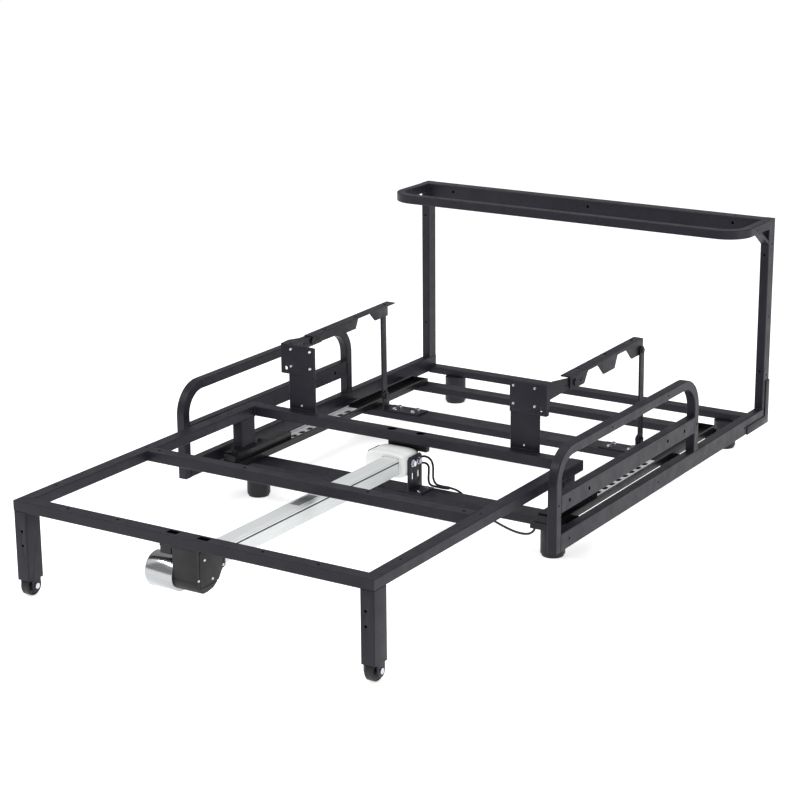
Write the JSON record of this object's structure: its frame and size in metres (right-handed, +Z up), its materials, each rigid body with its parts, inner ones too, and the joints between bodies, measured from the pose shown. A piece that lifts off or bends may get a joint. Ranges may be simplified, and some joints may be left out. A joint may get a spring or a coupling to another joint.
{
  "type": "sofa bed base",
  "caption": "Powered pull-out sofa bed base: tubular steel frame, sliding seat frame, motor and screw drive, folding side rails.",
  "frame": {"origin": "centre of the footprint at floor level, with the seat pulled out", "axes": "+Z up, +Y towards the back posts, +X to the side, right when seen from the front"},
  "size_m": [1.125, 1.954, 0.669],
  "materials": {
    "black_steel": "satin black powder coat",
    "zinc_hardware": "bright zinc plate",
    "slide_zinc": "zinc plated sheet",
    "slide_black": "black coated sheet",
    "foot_plastic": "moulded black plastic",
    "white_plastic": "moulded off-white plastic",
    "black_plastic": "moulded black plastic",
    "cable_sheath": "smooth black sheath",
    "rail_alloy": "clear anodised extrusion",
    "motor_steel": "bright turned can",
    "screw_steel": "rolled thread",
    "wheel_plastic": "hard black plastic"
  },
  "bodies": {
    "base": {"side_rail_left": "black_steel", "side_rail_right": "black_steel", "arm_loop_left": "black_steel", "arm_loop_right": "black_steel", "mid_rail_left": "black_steel", "mid_rail_right": "black_steel", "cross_tube_front": "black_steel", "cross_tube_middle": "black_steel", "cross_tube_rear": "black_steel", "cross_tube_back": "black_steel", "back_post_left": "black_steel", "back_post_right": "black_steel", "back_top_tube": "black_steel", "shelf_loop": "black_steel", "shelf_gussets": "black_steel", "corner_brackets": "black_steel", "feet": "foot_plastic", "slide_outer_left": "slide_black", "slide_outer_right": "slide_black", "link_plates": "black_steel", "base_bolts": "zinc_hardware", "link_pins": "black_steel", "drive_brackets": "black_steel", "carriage_bolts": "zinc_hardware", "carriage_block": "white_plastic", "drive_nut": "white_plastic", "cable": "cable_sheath", "cable_clip": "black_plastic"},
    "seat": {"seat_front_bar": "black_steel", "seat_side_bar_left": "black_steel", "seat_side_bar_right": "black_steel", "seat_mid_bar": "black_steel", "seat_rear_bar": "black_steel", "front_leg_left": "black_steel", "front_leg_right": "black_steel", "caster_axles": "zinc_hardware", "rear_supports": "black_steel", "slide_inner_left": "slide_black", "slide_inner_right": "slide_black", "seat_bolts": "zinc_hardware", "hinge_post_left": "black_steel", "hinge_post_right": "black_steel", "hinge_arm_left": "black_steel", "hinge_arm_right": "black_steel", "panel_pins": "black_steel", "actuator_rail": "rail_alloy", "gearbox_housing": "black_plastic", "gearbox_screws": "zinc_hardware", "motor_can": "motor_steel", "rail_hanger": "black_plastic"},
    "slide_middle_l": {"slide_middle_left": "slide_zinc"},
    "slide_middle_r": {"slide_middle_right": "slide_zinc"},
    "wheel_l": {"caster_wheel_left": "wheel_plastic"},
    "wheel_r": {"caster_wheel_right": "wheel_plastic"},
    "link_l": {"link_left": "black_steel"},
    "link_r": {"link_right": "black_steel"},
    "panel_l": {"panel_rail_left": "black_steel"},
    "panel_r": {"panel_rail_right": "black_steel"},
    "screw": {"lead_screw": "screw_steel"}
  },
  "joints": [
    {"name": "seat_slide", "type": "slide", "parent": "base", "child": "seat", "axis": [0, 1, 0], "range_m": [0, 0.69]},
    {"name": "slide_middle_l_travel", "type": "slide", "parent": "base", "child": "slide_middle_l", "axis": [0, 1, 0], "range_m": [0, 0.345]},
    {"name": "slide_middle_r_travel", "type": "slide", "parent": "base", "child": "slide_middle_r", "axis": [0, 1, 0], "range_m": [0, 0.345]},
    {"name": "link_l_pivot", "type": "hinge", "parent": "base", "child": "link_l", "pos_m": [-0.405, 0.478, 0.14], "axis": [-1, 0, 0], "range_deg": [0, 116.55]},
    {"name": "panel_l_pivot", "type": "hinge", "parent": "seat", "child": "panel_l", "pos_m": [-0.4, 0.105, 0.39], "axis": [-1, 0, 0], "range_deg": [0, 104.37]},
    {"name": "link_r_pivot", "type": "hinge", "parent": "base", "child": "link_r", "pos_m": [0.405, 0.478, 0.14], "axis": [-1, 0, 0], "range_deg": [0, 116.55]},
    {"name": "panel_r_pivot", "type": "hinge", "parent": "seat", "child": "panel_r", "pos_m": [0.4, 0.105, 0.39], "axis": [-1, 0, 0], "range_deg": [0, 104.37]},
    {"name": "wheel_l_spin", "type": "hinge", "parent": "seat", "child": "wheel_l", "pos_m": [-0.482, -0.952, 0.025], "axis": [1, 0, 0], "continuous": true},
    {"name": "wheel_r_spin", "type": "hinge", "parent": "seat", "child": "wheel_r", "pos_m": [0.482, -0.952, 0.025], "axis": [1, 0, 0], "continuous": true},
    {"name": "screw_spin", "type": "hinge", "parent": "seat", "child": "screw", "pos_m": [0, -0.477, 0.166], "axis": [0, 1, 0], "continuous": true}
  ],
  "couplings": [
    {"joint": "slide_middle_l_travel", "follows": "seat_slide", "ratio": 0.5},
    {"joint": "link_l_pivot", "follows": "seat_slide", "rad_per_m": 2.9479},
    {"joint": "panel_l_pivot", "follows": "seat_slide", "rad_per_m": 2.6398},
    {"joint": "slide_middle_r_travel", "follows": "seat_slide", "ratio": 0.5},
    {"joint": "link_r_pivot", "follows": "seat_slide", "rad_per_m": 2.9479},
    {"joint": "panel_r_pivot", "follows": "seat_slide", "rad_per_m": 2.6398},
    {"joint": "screw_spin", "follows": "seat_slide", "rad_per_m": 785.4}
  ]
}
